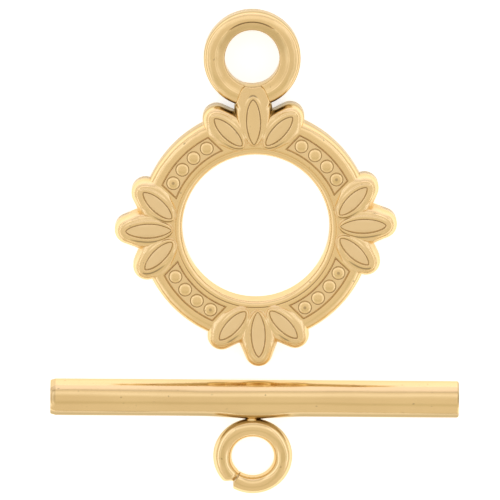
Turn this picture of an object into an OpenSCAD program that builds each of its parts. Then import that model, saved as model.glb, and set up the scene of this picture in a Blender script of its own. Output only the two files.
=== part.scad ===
// Toggle clasp in two loose halves, lying flat as they are laid out.
// The ring half is one casting: a round band, four palmettes of three petals, four sunk
// panels of beads and a hanging loop. The bar half is a round rod with a split wire loop
// soldered to its middle. Z = 0 is the surface they lie on, and the origin is the centre
// of the hole that the bar passes through.

/* [Ring band] */
// Radius of the hole that the bar passes through
hole_r = 4.33; // [4.1:0.01:4.5]
// Width of the band, from the hole to its outer edge
band_w = 2.51; // [2.4:0.01:2.8]
// Height of the band above the flat back
band_h = 1.85; // [1.6:0.01:1.9]
// Rounding of the lip round the hole
lip_round = 0.35; // [0.2:0.01:0.45]
// Rounding of every outer front edge
edge_round = 0.55; // [0.35:0.01:0.6]

/* [Petals] */
// Depth of the arc's centre that wears off a petal's front edge
edge_arc = 0.8; // [0.7:0.01:0.82]
// Height of the petals above the flat back
petal_h = 2.0; // [1.92:0.01:2.2]
// Fine step from a petal's rounded rim up to its flat middle
top_step = 0.02; // [0.01:0.01:0.05]
// Radius of a petal's round tip
tip_r = 0.82; // [0.7:0.01:0.9]
// Angle that each flank of a petal opens towards its root
petal_flare = 21; // [15:1:25]
// How far a palmette's middle petal stands out of the band
middle_out = 1.47; // [1.2:0.01:1.6]
// How much further the petal under the hanging loop stands out
top_extra = 0.2; // [0.15:0.01:0.3]
// How far a palmette's side petals stand out of the band
side_out = 0.79; // [0.6:0.01:0.9]
// Angle round the ring from a middle petal to the tips of its side petals
side_turn = 18.6; // [17:0.1:20]
// Angle that a side petal's own axis leans from the middle petal's
side_lean = 44; // [38:1:48]

/* [Leaf recesses] */
// Length of the leaf sunk in a middle petal
middle_leaf_l = 2.63; // [2.2:0.01:2.8]
// Length of the leaf sunk in a side petal
side_leaf_l = 2.21; // [1.9:0.01:2.3]
// Width of the leaf in a middle petal
middle_leaf_w = 0.82; // [0.6:0.01:0.9]
// Width of the leaf in a side petal
side_leaf_w = 0.76; // [0.6:0.01:0.85]
// Distance from a petal's tip to the point of its leaf
leaf_margin = 0.66; // [0.6:0.01:0.8]
// Depth of a leaf's floor
leaf_sink = 0.12; // [0.06:0.01:0.2]

/* [Bead panels] */
// Beads in each panel
bead_n = 4; // [2:1:4]
// Radius of a bead
bead_r = 0.38; // [0.3:0.01:0.4]
// Distance from bead to bead round the ring
bead_pitch = 0.96; // [0.9:0.01:1]
// Height of a bead above the panel's floor
bead_rise = 0.16; // [0.1:0.01:0.2]
// Plain border between the hole and a panel
inner_border = 0.66; // [0.55:0.01:0.7]
// Plain border between a panel and the band's outer edge
outer_border = 0.74; // [0.65:0.01:0.8]
// Floor left beyond the last bead of a panel
bead_margin = 0.17; // [0.1:0.01:0.25]
// Depth of a panel's floor
panel_sink = 0.14; // [0.06:0.01:0.2]

/* [Hanging loop] */
// Radius of the loop's hole
eye_r = 1.61; // [1.4:0.01:1.7]
// Width of the loop's metal
eye_w = 1.24; // [1.15:0.01:1.4]
// Height of the loop above the flat back
eye_h = 1.8; // [1.6:0.01:1.85]
// Metal between the band and the loop's hole
neck = 1.56; // [1.45:0.01:1.65]
// Rounding of the loop's front edge at its hole
eye_round = 0.44; // [0.3:0.01:0.5]
// Rounding of the loop's front edge on its outside
eye_edge_round = 0.65; // [0.5:0.01:0.65]
// Rounding of the loop's edges at the back
eye_back_round = 0.25; // [0.15:0.01:0.35]

/* [Bar] */
// Length of the rod
rod_l = 24.1; // [20:0.1:28]
// Diameter of the rod
rod_d = 2.17; // [1.9:0.01:2.4]
// Bevel at the rod's ends
rod_bevel = 0.14; // [0.05:0.01:0.25]
// Distance along the rod from its middle to the wire loop
loop_shift = -0.08; // [-0.3:0.01:0.3]
// Diameter of the loop's wire
wire_d = 1.09; // [0.9:0.01:1.2]
// Diameter of the loop's hole
loop_hole_d = 2.5; // [2.2:0.01:2.8]
// Angle that the loop drops from its joint to its far end, which touches the surface
loop_droop = 11; // [9:0.5:16]
// Width of the split between the wire's two ends
split_gap = 0.05; // [0.03:0.01:0.15]
// Place of the split, in degrees round the loop from its right side
split_at = 235; // [200:1:250]
// Gap between the rod and the wire that the solder fills
solder_gap = 0.12; // [0.05:0.01:0.14]
// Radius of the solder bead
solder_r = 0.27; // [0.24:0.01:0.35]

/* [Lay-out] */
// Clear distance between the ring's lowest petal and the rod
lie_gap = 0.86; // [0.5:0.01:3]
// Distance that the rod's middle lies to the side of the ring's axis
bar_x = -0.3; // [-1:0.01:1]
// Angle that the bar is turned from square to the ring's axis
bar_turn = -1.7; // [-4:0.1:4]

/* [Hidden] */
$fn = 96;
gold = [0.87, 0.72, 0.47];
// Overlap of a cutting shape past the face that it cuts
past = 0.5;
// Distance that a petal's flat middle runs past its flanks' root ends
root_past = 0.15;
palmettes = 4;
quarter = 360 / palmettes;

band_r = hole_r + band_w;
band_mid_r = hole_r + band_w / 2;
middle_tip_r = band_r + middle_out - tip_r;
side_tip_r = band_r + side_out - tip_r;
panel_in_r = hole_r + inner_border;
panel_out_r = band_r - outer_border;
bead_ring_r = (panel_in_r + panel_out_r) / 2;
bead_step = bead_pitch / bead_ring_r * 180 / PI;
panel_half_l = bead_ring_r * sin((bead_n - 1) / 2 * bead_step) + bead_r + bead_margin;
panel_floor = band_h - panel_sink;
bead_ball_r = (bead_r * bead_r + bead_rise * bead_rise) / (2 * bead_rise);
eye_y = band_r + neck + eye_r;

rod_r = rod_d / 2;
wire_r = wire_d / 2;
loop_r = loop_hole_d / 2 + wire_r;
bar_y = -(band_r + middle_out + lie_gap + rod_r);
// Height of the wire's centre where the loop meets the rod
joint_z = wire_r + 2 * loop_r * sin(loop_droop);
joint_reach = rod_r + solder_gap + wire_r;
// Distance in plan from the rod's axis to the wire's centre there
joint_y = sqrt(pow(joint_reach, 2) - pow(joint_z - rod_r, 2));

// Quarter disc with its square corner at the origin
module quarter_round(r) {
    intersection() {
        circle(r);
        square(r);
    }
}

// Upright wall section from x = 0 to w, its front outer corner rounded
module edge_profile(w, h) {
    square([w, h - edge_round]);
    square([w - edge_round, h]);
    translate([w - edge_round, h - edge_round]) quarter_round(edge_round);
}

// Section of the band: plain back, rounded lip at the hole, rounded outer edge
module band_profile() {
    difference() {
        edge_profile(band_r, band_h);
        square([hole_r + lip_round, band_h + past]);
    }
    translate([hole_r, 0]) square([lip_round, band_h - lip_round]);
    translate([hole_r + lip_round, band_h - lip_round]) mirror([1, 0]) quarter_round(lip_round);
}

module band() {
    rotate_extrude() band_profile();
}

// Upright wall section of a petal's rim: its front corner is worn off by an arc that crosses both faces
module rim_profile() {
    arc_r = norm([edge_arc, edge_arc - edge_round]);
    intersection() {
        square([tip_r, petal_h - top_step]);
        union() {
            square([tip_r, petal_h - edge_round]);
            translate([tip_r - edge_arc, petal_h - edge_arc]) circle(arc_r);
        }
    }
}

// One side of a petal's rim: its flank, and a quarter of the round tip that the flank runs into
module rim_side(root_l) {
    rotate([0, 0, petal_flare]) {
        rotate_extrude(angle = 90) rim_profile();
        rotate([90, 0, 0]) linear_extrude(root_l) rim_profile();
    }
}

// Rim of a petal along Y: a round tip about the origin and two flanks that open towards the root
module petal_rim(root_l) {
    for (side = [0, 1]) mirror([side, 0, 0]) rim_side(root_l);
}

// Outline of that petal's flat middle, which runs a little past the flanks' root ends
module petal_flat(root_l) {
    flat_r = tip_r - edge_round;
    root = (root_l + root_past) * [sin(petal_flare), -cos(petal_flare)];
    circle(flat_r);
    polygon([[flat_r, 0], [flat_r + root.x, root.y], [-flat_r - root.x, root.y], [-flat_r, 0]]);
}

// Pointed leaf outline along Y: the overlap of two equal circles
module leaf(l, w) {
    arc_r = (l * l + w * w) / (4 * w);
    intersection() {
        translate([arc_r - w / 2, 0]) circle(arc_r);
        translate([w / 2 - arc_r, 0]) circle(arc_r);
    }
}

// Recess of a leaf whose outer point is leaf_margin inside the tip of its petal
module leaf_recess(l, w) {
    translate([0, tip_r - leaf_margin - l / 2, petal_h - leaf_sink])
        linear_extrude(leaf_sink + past) leaf(l, w);
}

// Puts its children where a side petal stands, on the right or mirrored to the left
module at_side_petals() {
    for (side = [0, 1]) mirror([side, 0, 0])
        rotate([0, 0, -side_turn]) translate([0, side_tip_r, 0])
            rotate([0, 0, side_turn - side_lean]) children();
}

// Three petals: their rims, and one flat top that stands a fine step above the rims
module palmette_petals(extra) {
    tip_y = middle_tip_r + extra;
    translate([0, tip_y, 0]) petal_rim(tip_y - band_mid_r);
    at_side_petals() petal_rim(side_tip_r - band_mid_r);
    linear_extrude(petal_h) {
        translate([0, tip_y, 0]) petal_flat(tip_y - band_mid_r);
        at_side_petals() petal_flat(side_tip_r - band_mid_r);
    }
}

module palmette_recesses() {
    translate([0, middle_tip_r, 0]) leaf_recess(middle_leaf_l, middle_leaf_w);
    at_side_petals() leaf_recess(side_leaf_l, side_leaf_w);
}

// Sunk panel centred on Y: part of a ring, its ends cut parallel to Y
module bead_panel() {
    translate([0, 0, panel_floor]) linear_extrude(panel_sink + past)
        intersection() {
            difference() {
                circle(panel_out_r);
                circle(panel_in_r);
            }
            translate([-panel_half_l, 0]) square([2 * panel_half_l, panel_out_r]);
        }
}

module beads() {
    for (i = [0 : bead_n - 1])
        rotate([0, 0, (i - (bead_n - 1) / 2) * bead_step])
            translate([0, bead_ring_r, panel_floor + bead_rise - bead_ball_r])
                sphere(bead_ball_r);
}

// Rectangle with a rounding of its own at each corner: back inner and outer, front inner and outer
module rounded_section(w, h, back, front_in, front_out) {
    difference() {
        square([w, h]);
        for (corner = [[0, 0, 1, 1, back], [w, 0, -1, 1, back],
                       [0, h, 1, -1, front_in], [w, h, -1, -1, front_out]])
            translate([corner[0], corner[1]]) scale([corner[2], corner[3]])
                translate([-past, -past]) difference() {
                    square(corner[4] + past);
                    translate([corner[4] + past, corner[4] + past]) circle(corner[4]);
                }
    }
}

// Hanging loop: straight wall at its hole, rounded front and softened back
module hanging_loop() {
    translate([0, eye_y, 0]) rotate_extrude() translate([eye_r, 0])
        rounded_section(eye_w, eye_h, eye_back_round, eye_round, eye_edge_round);
}

module toggle_ring() {
    color(gold) {
        difference() {
            union() {
                band();
                for (i = [1 : palmettes - 1]) rotate([0, 0, i * quarter]) palmette_petals(0);
                difference() {
                    palmette_petals(top_extra);
                    translate([0, eye_y, -past]) cylinder(h = petal_h + 2 * past, r = eye_r);
                }
                hanging_loop();
            }
            for (i = [0 : palmettes - 1]) rotate([0, 0, i * quarter]) {
                palmette_recesses();
                rotate([0, 0, quarter / 2]) bead_panel();
            }
        }
        for (i = [0 : palmettes - 1]) rotate([0, 0, (i + 1 / 2) * quarter]) beads();
    }
}

// Round rod along X, bevelled at both ends
module rod() {
    rotate([0, 90, 0]) rotate_extrude()
        polygon([[0, -rod_l / 2], [rod_r - rod_bevel, -rod_l / 2], [rod_r, rod_bevel - rod_l / 2],
                 [rod_r, rod_l / 2 - rod_bevel], [rod_r - rod_bevel, rod_l / 2], [0, rod_l / 2]]);
}

// Split wire ring, flat about the origin, open at split_at
module wire_loop() {
    split_angle = split_gap / loop_r * 180 / PI;
    rotate([0, 0, split_at + split_angle / 2])
        rotate_extrude(angle = 360 - split_angle) translate([loop_r, 0]) circle(wire_r);
}

module solder() {
    sphere(solder_r);
}

module toggle_bar() {
    color(gold) translate([bar_x, bar_y, 0]) rotate([0, 0, bar_turn]) {
        translate([0, 0, rod_r]) rod();
        translate([loop_shift, 0, 0]) {
            translate([0, -joint_y, joint_z]) rotate([loop_droop, 0, 0])
                translate([0, -loop_r, 0]) wire_loop();
            translate([0, 0, rod_r]) rotate([-asin((joint_z - rod_r) / joint_reach), 0, 0])
                translate([0, -rod_r - solder_gap / 2, 0]) solder();
        }
    }
}

toggle_ring();
toggle_bar();
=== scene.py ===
# %% [markdown]
# # A gold toggle clasp in two halves
# The clasp closes a bracelet. One half is a cast ring with petals, beads and a hanging loop, the
# other a round bar with a wire loop. The CAD frame gives their places and main sizes. Here both
# halves are made again as finer surfaces, each worked out with numpy, because what the eye reads
# on polished gold is the way that small roundings and engraved lines bend the reflections.
# Every length below is in millimetres, and becomes metres only when a mesh is made.

# %% Load the frame
import bmesh
import bpy
import numpy as np
from mathutils import Matrix, Vector


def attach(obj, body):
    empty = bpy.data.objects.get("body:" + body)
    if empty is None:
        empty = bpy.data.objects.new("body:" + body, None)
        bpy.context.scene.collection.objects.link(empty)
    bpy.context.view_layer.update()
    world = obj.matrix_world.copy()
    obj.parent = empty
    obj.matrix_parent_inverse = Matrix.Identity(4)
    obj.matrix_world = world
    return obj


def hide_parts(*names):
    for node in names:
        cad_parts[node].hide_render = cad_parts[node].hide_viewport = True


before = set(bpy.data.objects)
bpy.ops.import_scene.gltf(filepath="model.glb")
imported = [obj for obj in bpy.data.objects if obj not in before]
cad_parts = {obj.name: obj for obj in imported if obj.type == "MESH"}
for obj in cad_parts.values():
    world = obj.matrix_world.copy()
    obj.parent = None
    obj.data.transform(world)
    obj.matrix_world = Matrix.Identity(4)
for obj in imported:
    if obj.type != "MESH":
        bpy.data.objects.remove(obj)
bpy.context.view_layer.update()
MM = 0.001

# %% [markdown]
# ## From numbers to a mesh
# Every surface below is a table of points, one row after the other. Four neighbours in the table
# make a face. Where a whole row is one point, as on top of a dome, or where two points of a row
# are one, as along a seam, the table of point numbers says so, and the faces there get three
# corners. A closed surface needs this, since a crack would show as a dark thread on metal.

# %% Tables of point numbers
def face_corners(index):
    """Four corners for each cell of a table of point numbers, down one row and back along the next."""
    return np.stack([index[:-1, :-1], index[1:, :-1], index[1:, 1:], index[:-1, 1:]], -1).reshape(-1, 4)


def wrapped(index):
    """The table with its first column again at the end, so that each row closes on itself."""
    return np.concatenate([index, index[:, :1]], 1)


def hoop_table(rows, columns):
    """Point numbers of a section carried round in a circle: the first column and the first row come
    again at the end, so the surface closes both ways."""
    index = wrapped(np.arange(rows * columns).reshape(rows, columns))
    return np.concatenate([index, index[:1]], 0)


def capped_table(rows, columns):
    """Point numbers of a tube or a lump: each row closes, and the first and the last are one point."""
    index = np.arange(rows * columns).reshape(rows, columns)
    index[0], index[-1] = index[0, 0], index[-1, 0]
    return wrapped(index)


print("a hoop of 3 rows of 4 points has", len(face_corners(hoop_table(3, 4))), "faces")

# %% [markdown]
# ## A mesh that knows its finish and its painted shade
# Blender fills a mesh fastest from whole arrays. Besides its place, each point gets a number. It is
# 0 on polished gold and rises to 1 in brown. That brown is painted shade in engraved lines, on walls
# and on undersides, and marks a few dark spots. The number falls to -1 on satin metal that the
# polishing wheel doesn't reach. One material can then show all three.

# %% One object from a table
def mesh_object(name, points, corners, cut=0.0):
    """Object from points in millimetres and faces of four corners. A face that has a corner twice
    keeps its three different ones, and one with less than three is left out. The last argument is the
    finish of each point, with its painted shade, or one number for all."""
    used, corners = np.unique(corners, return_inverse=True)
    corners = corners.reshape(-1, 4)
    cut = np.broadcast_to(cut, points.shape[:-1]).ravel()[used]
    points = points.reshape(-1, 3)[used]
    same = corners == np.roll(corners, -1, 1)
    four = corners[same.sum(1) == 0]
    lame = same.sum(1) == 1
    three = corners[lame][~same[lame]].reshape(-1, 3)
    loops = np.concatenate([four.ravel(), three.ravel()]).astype(np.int32)
    starts = np.concatenate([np.arange(len(four)) * 4, 4 * len(four) + np.arange(len(three)) * 3])
    mesh = bpy.data.meshes.new(name)
    mesh.vertices.add(len(points))
    mesh.vertices.foreach_set("co", (points * MM).astype(np.float32).ravel())
    mesh.loops.add(len(loops))
    mesh.loops.foreach_set("vertex_index", loops)
    mesh.polygons.add(len(starts))
    mesh.polygons.foreach_set("loop_start", starts.astype(np.int32))
    mesh.update(calc_edges=True)
    mesh.attributes.new("cut", "FLOAT", "POINT").data.foreach_set("value", cut.astype(np.float32))
    mesh.validate()
    return bpy.data.objects.new(name, mesh)


print("meshes in the CAD frame:", len(bpy.data.meshes))

# %% [markdown]
# ## Turns, arcs and soft steps
# Three helpers come back in every shape. A turn takes a petal or a panel to its quarter of the
# ring, an arc rounds an edge, and a soft step blends two heights or two finishes without a corner.

# %% Turns, arcs and soft steps
def turned(points, angle):
    """Points turned about Z: x cos - y sin, x sin + y cos."""
    c, s = np.cos(angle), np.sin(angle)
    x, y, z = points[..., 0], points[..., 1], points[..., 2]
    return np.stack([c * x - s * y, s * x + c * y, z], -1)


def arc(centre, radius, start, end, n):
    """Points of a circle's arc in a plane, centre + R (cos, sin), angles in degrees."""
    a = np.radians(np.linspace(start, end, n))
    return np.stack([centre[0] + radius * np.cos(a), centre[1] + radius * np.sin(a)], -1)


def smoothstep(low, high, value):
    """0 below low, 1 above high, and 3t^2 - 2t^3 in between."""
    t = np.clip((value - low) / (high - low), 0, 1)
    return t * t * (3 - 2 * t)


print("a soft step at 1/4, 1/2 and 3/4:", smoothstep(0, 1, np.array([0.25, 0.5, 0.75])))

# %% [markdown]
# ## The band
# The band is a flat ring with a rounded lip at the hole and a fine engraved line beside the lip.
# It could be a lathe shape, but four panels are sunk in it, and their ends are straight. Its sizes
# are those of the CAD solid. A table of a few steps says how a panel's edge falls away.

# %% Sizes of the band
HOLE_R, BAND_R, BAND_H = 4.33, 6.84, 1.85
LIP_R, LIP_SINK, RIM_R = 0.34, 0.37, 0.55     # the lip's radius, its centre's depth, the rim's radius
PANEL_IN, PANEL_OUT, PANEL_HALF, PANEL_DEPTH = 4.99, 6.10, 1.974, 0.10
QUARTERS = np.radians([45, 135, 225, 315])    # where the middles of the panels are
EDGE_INSIDE = np.array([-0.05, -0.02, 0.0, 0.012, 0.02])    # distance inside a panel's outline
EDGE_Z = np.array([0, -0.008, -0.03, -0.10, -0.30])         # and the height there, from the front
print("each panel:", round(PANEL_OUT - PANEL_IN, 2), "mm wide and", 2 * PANEL_HALF, "mm long")

# %% [markdown]
# ## Heights and painted shade
# Other pieces are laid over the band, so its height is a function that they can ask. Steep and
# downward faces are painted darker, as painted shade.

# %% Heights and painted shade
def ease_edge(inside):
    """Height against the distance inside a panel's outline, in straight pieces: the band's flat, a
    small rounded edge, a steep wall to far below the panel's own floor."""
    return np.interp(inside, EDGE_INSIDE, EDGE_Z)


def band_top(r):
    """Height of the band's front against the radius: flat, then a quarter round at the outer edge,
    z = h - R + sqrt(R^2 - d^2), and 0 outside."""
    beyond = np.clip(r - (BAND_R - RIM_R), 0, RIM_R)
    return np.where(r < BAND_R, BAND_H - RIM_R + np.sqrt(RIM_R ** 2 - beyond ** 2), 0)


def underside_shade(facing_up, most=0.55):
    """Painted shade on steep and downward faces: none where the normal's z is over 0.55, the most
    where it is under 0.05, a soft step in between."""
    return most * (1 - smoothstep(0.05, 0.55, facing_up))


print("the front's height at three radii:", np.round(band_top(np.array([5.0, 6.6, 7.0])), 3))

# %% [markdown]
# ## The band's section
# A lathe tool would cut this outline, from the lip round the front and the rim to the back. The
# rows are close together where a panel's edge will run along them, and wide apart elsewhere.

# %% The band's section
def band_section():
    """Points (r, z) in five parts: a quarter round lip, the engraved line, the level front, a quarter
    round rim, and the flat back with its corners taken off."""
    lip = arc((HOLE_R + LIP_R, BAND_H - LIP_SINK), LIP_R, 180, 90, 9)
    line = np.array([[4.70, -0.035], [4.715, -0.05], [4.735, -0.05], [4.755, -0.01], [4.775, 0.0]])
    front_r = np.concatenate([[4.84, 4.90], PANEL_IN + EDGE_INSIDE, np.linspace(5.03, 6.06, 6),
                              PANEL_OUT - EDGE_INSIDE[::-1], [6.20, 6.25]])
    front = np.stack([front_r, np.full(len(front_r), BAND_H)], -1)
    rim = arc((BAND_R - RIM_R, BAND_H - RIM_R), RIM_R, 90, 0, 15)
    back = np.array([[BAND_R, 0.06], [BAND_R - 0.05, 0.0], [HOLE_R + 0.05, 0.0], [HOLE_R, 0.06]])
    return [lip, line + [0, BAND_H], front, rim, back]


print("the section's parts have", [len(part) for part in band_section()], "points")

# %% [markdown]
# ## The band's rays
# On a plain lathe shape the rows would cross straight rays. Here the rays bend near each panel
# until they run along its straight ends, so the ends are as crisp as if they had been milled.

# %% The band's rays
def band_rays(r):
    """Angles from the middle of a panel, one row for each radius. Half of them are equal shares up
    to the panel's end, five on the end, where r sin(angle) is constant, and equal shares up to an
    eighth of a turn. The other half mirrors them. Off the front the radius is held."""
    across = PANEL_HALF - EDGE_INSIDE[::-1]
    held = np.clip(r, 4.80, 6.30)[:, None]
    inner = np.arcsin(across[0] / held) * np.linspace(0, 1, 25)[:-1]
    edge = np.arcsin(across / held)
    outer = edge[:, -1:] + (np.pi / 4 - edge[:, -1:]) * np.linspace(0, 1, 31)[1:]
    half = np.concatenate([inner, edge, outer], 1)
    return np.concatenate([-half[:, :0:-1], half[:, :-1]], 1)


ends = band_rays(np.array([PANEL_IN, PANEL_OUT]))[:, -32]
print("a panel ends", np.degrees(ends).round(1), "degrees from its middle, inside and outside")

# %% [markdown]
# ## The band's finish and painted shade
# The engraved line and the panels' edges get a trace of brown as painted shade. The rim, the back
# and the far side of the hole's lip are painted darker as shade. The near side of the hole catches
# the light of the sheet below it, and is satin instead.

# %% The band's finish and painted shade
# painted shade: brown in the engraved line, on the outer wall and back, and on the hole's far lip
LINE_SHADE, WALL_SHADE, WALL_SATIN = 0.45, 0.5, 0.6
HOLE_LIP_SHADE = np.array([0.25, 0.25, 0.2, 0.1])   # on the lowest rows of the lip at the hole


def band_shade_and_satin(parts, drop, turn):
    """Finish of each point, with painted shade in brown: by depth at the panels' edges, by the shade of
    downward faces on the rim, and on the outer wall and the back. Where the hole's wall faces the
    viewer, -sin(angle) high, it goes over to satin, and the engraved line behind it gets darker
    painted shade."""
    lip, line, front, rim = [len(part) for part in parts[:4]]
    facing = smoothstep(0.1, 0.8, -np.sin(turn[0]))
    cut = np.clip(-drop / 0.04, 0, LINE_SHADE)
    cut[:4] = HOLE_LIP_SHADE[:, None] * (1 - facing) - WALL_SATIN * facing
    cut[lip + 1:lip + 3] = 0.06 + 0.5 * facing
    rim_row = lip + line + front
    cut[rim_row:rim_row + rim] = underside_shade(np.sin(np.radians(np.linspace(90, 0, rim))))[:, None]
    cut[rim_row + rim:-1] = WALL_SHADE
    cut[-1] = WALL_SHADE * (1 - facing) - WALL_SATIN * facing
    return cut


print("finish of a panel's edge, from dull to satin:", LINE_SHADE, WALL_SHADE, -WALL_SATIN)

# %% [markdown]
# ## The band's surface
# Section and rays together give the surface. The panels are sunk in the same step, so their edges
# lie on rows and rays of the grid, and no cutting is needed afterwards.

# %% The band's surface
def band_surface():
    """The section carried round the rays' angles. On the front z falls by ease_edge of the distance
    inside the nearest panel, which is the least of the distances to its four sides."""
    parts = band_section()
    r, z = np.concatenate(parts).T
    fan = band_rays(r)
    turn = np.concatenate([fan + q for q in QUARTERS], 1)
    across = np.abs(r[:, None] * np.sin(fan))
    inside = np.minimum(np.minimum(r - PANEL_IN, PANEL_OUT - r)[:, None], PANEL_HALF - across)
    drop = np.tile(np.where(z[:, None] > BAND_H - 0.2, ease_edge(inside), 0), (1, 4))
    plan = [r[:, None] * np.cos(turn), r[:, None] * np.sin(turn)]
    return np.stack(plan + [z[:, None] + drop], -1), band_shade_and_satin(parts, drop, turn)


points, cut = band_surface()
band = mesh_object("ring_band", points, face_corners(hoop_table(*points.shape[:2]))[:, ::-1], cut)
print("band:", points.shape[0], "rows of", points.shape[1], "points,", len(band.data.polygons), "faces")

# %% [markdown]
# ## Cells of a panel
# Each panel holds four low beads, and a fine line is cut round every bead and along the panel's
# outline. Stamping or punching leaves such lines on the real die. Each bead gets its own cell of
# the panel, so that one small surface, repeated sixteen times, makes them all.

# %% Cells of a panel
BEAD_RING, BEAD_PITCH = 5.545, 0.96           # the circle that the beads stand on, their spacing
BEAD_STEP = BEAD_PITCH / BEAD_RING
BEYOND = 0.008                                # how far a cell reaches past the panel's outline


def cell_outline(first, last, n):
    """Outline of a bead's cell in (r, angle), four sides of n points: two limits of the panel and two
    end rays. The ends of the panel keep r sin(angle) constant, the rays between beads keep the
    angle."""
    low, high = PANEL_IN - BEYOND, PANEL_OUT + BEYOND
    t = np.linspace(0, 1, n + 1)[:-1]

    def ray(r, side):
        """Angle of an end at each radius: between two beads, or at 2 and -2 the panel's own end."""
        if abs(side) < 2:
            return np.full_like(r, side * BEAD_STEP)
        return np.sign(side) * np.arcsin((PANEL_HALF + BEYOND) / r)

    up, down = low + (high - low) * t, high - (high - low) * t
    low_side, high_side = np.full(n, low), np.full(n, high)
    high_angle = ray(high_side, last) * (1 - t) + ray(high_side, first) * t
    low_angle = ray(low_side, first) * (1 - t) + ray(low_side, last) * t
    return (np.concatenate([up, high_side, down, low_side]),
            np.concatenate([ray(up, last), high_angle, ray(down, first), low_angle]))


def pulled_in(r, angle, by):
    """Plan points of such an outline, held inside the panel's own outline by a distance."""
    r = np.clip(r, PANEL_IN + by, PANEL_OUT - by)
    limit = np.arcsin((PANEL_HALF - by) / r)
    angle = np.clip(angle, -limit, limit)
    return np.stack([r * np.cos(angle), r * np.sin(angle)], -1)


print("from bead to bead:", round(np.degrees(BEAD_STEP), 2), "degrees")

# %% [markdown]
# ## One bead and its floor
# The rows start as circles on the bead and end on the cell's four sides. A bead could be a sphere
# pushed into the floor, but then the cut line at its foot would be jagged at this size.

# %% One bead and its floor
BEAD_R, BEAD_H = 0.37, 0.12
DOME_STEPS = np.array([0.0, 0.06, 0.12, 0.18, 0.23, 0.27, 0.30, 0.32, 0.335, 0.345])
FOOT_STEPS, FOOT_Z = np.array([0.355, 0.385, 0.405, 0.42]), np.array([-0.045, -0.045, -0.004, 0.0])
LINE_Z, CELL_BOTTOM = -0.055, -0.5            # the panel's own line from its floor, a cell's end
FLOOR_MARGIN, LINE_MARGIN = 0.07, 0.04        # the floor's and the line's edge inside the outline
CELL_SPREAD, FLOOR_SATIN = 1.04, 0.7          # how far a cell leans out below, finish of the floor


def bead_cell(slot, pit, n=20):
    """Rows are circles of growing radius d: a dome z = h sqrt(1 - (d/R)^2), then a cut line at its
    foot. They go over in equal steps to the cell's outline, where the panel's own line is cut, and
    turn down into the band, a little outwards, so that no two cells share a wall. Pit is the
    finish of the dome's middle."""
    r, angle = cell_outline(slot - 2, slot - 1, n)
    edge = np.stack([r * np.cos(angle), r * np.sin(angle)], -1)
    centre = (slot - 1.5) * BEAD_STEP
    mid = np.array([BEAD_RING * np.cos(centre), BEAD_RING * np.sin(centre)])
    way = np.arctan2(edge[:, 1] - mid[1], edge[:, 0] - mid[0])
    ring = np.stack([np.cos(way), np.sin(way)], -1)
    circles = mid + np.concatenate([DOME_STEPS, FOOT_STEPS])[:, None, None] * ring
    dome_z = -PANEL_DEPTH + BEAD_H * np.sqrt(np.clip(1 - (DOME_STEPS / BEAD_R) ** 2, 0, 1))
    floor_edge, line = pulled_in(r, angle, FLOOR_MARGIN), pulled_in(r, angle, LINE_MARGIN)
    between = circles[-1] + (floor_edge - circles[-1]) * np.array([0.35, 0.7, 1.0])[:, None, None]
    at_side = np.hypot(*(edge - line).T) > 0.003
    line_z = np.where(at_side, -PANEL_DEPTH + LINE_Z, -PANEL_DEPTH)
    level = np.concatenate([dome_z, -PANEL_DEPTH + FOOT_Z, np.full(3, -PANEL_DEPTH)])
    height = np.repeat(level[:, None], len(ring), 1)
    height = np.concatenate([height, [line_z, line_z, np.full(len(ring), CELL_BOTTOM)]])
    plan = np.concatenate([circles, between, [line, edge, mid + CELL_SPREAD * (edge - mid)]])
    # brown below the floor, in the lines round the bead and along the panel, is painted shade
    cut = np.clip((-PANEL_DEPTH - 0.005 - height) / 0.04, 0, LINE_SHADE)
    cut[:2] = pit
    cut = np.where(np.abs(height + PANEL_DEPTH) < 0.002, -FLOOR_SATIN, cut)
    return np.concatenate([plan, BAND_H + height[..., None]], -1), cut


print("a bead's foot is", 2 * BEAD_R, "mm across and its line", round(-FOOT_Z[0], 3), "mm deep")

# %% [markdown]
# ## Sixteen beads
# Five of the end beads have a dark spot in the middle, where the die was worn or the casting
# shrank. Each cell is closed below by one point deep in the band.

# %% Sixteen beads
PITTED = {(0, 0), (1, 3), (2, 3), (3, 0), (3, 3)}     # panel and place in the panel
PIT_BROWN = 0.5
cells = []
for panel, quarter in enumerate(QUARTERS):
    for slot in range(4):
        points, cut = bead_cell(slot, PIT_BROWN if (panel, slot) in PITTED else 0.0)
        points = turned(points, quarter)
        bottom = np.broadcast_to(points[-1].mean(0), points[-1:].shape)
        points, cut = np.concatenate([points, bottom]), np.concatenate([cut, cut[-1:]])
        corners = face_corners(capped_table(*points.shape[:2]))[:, ::-1]
        cells.append(mesh_object("bead_cell_%d" % len(cells), points, corners, cut))
print("bead cells:", len(cells), "of", len(cells[0].data.polygons), "faces")

# %% [markdown]
# ## Where a petal overlaps the hanging loop
# The top petal lies over the hanging loop, so the loop's front is needed first. On the real
# casting the loop is flatter than wire: level near the hole, then rounding over to its outside.

# %% The hanging loop's front
EYE_Y, EYE_R, EYE_W, EYE_H = 10.01, 1.61, 1.24, 1.80
CREST_R, SHOULDER_R, SHOULDER_TILT = EYE_R + 0.58, EYE_R + EYE_W - 0.22, np.radians(24)


def loop_top(r):
    """Height of the loop's front against the distance from its centre: level up to the crest, then a
    parabola whose slope reaches the tangent of the shoulder's tilt."""
    t = np.clip(r - CREST_R, 0, SHOULDER_R - CREST_R)
    return EYE_H - np.tan(SHOULDER_TILT) * t ** 2 / (2 * (SHOULDER_R - CREST_R))


print("the loop's front falls", round(EYE_H - float(loop_top(SHOULDER_R)), 3), "mm to its shoulder")

# %% [markdown]
# ## A petal's outline
# A petal is a rounded pad, blunt at the hole, widest beyond its middle and round at its tip. No
# simple formula gives that, so a smooth curve runs through a few knots. The petal is symmetrical,
# and only its right half is worked out.

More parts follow.
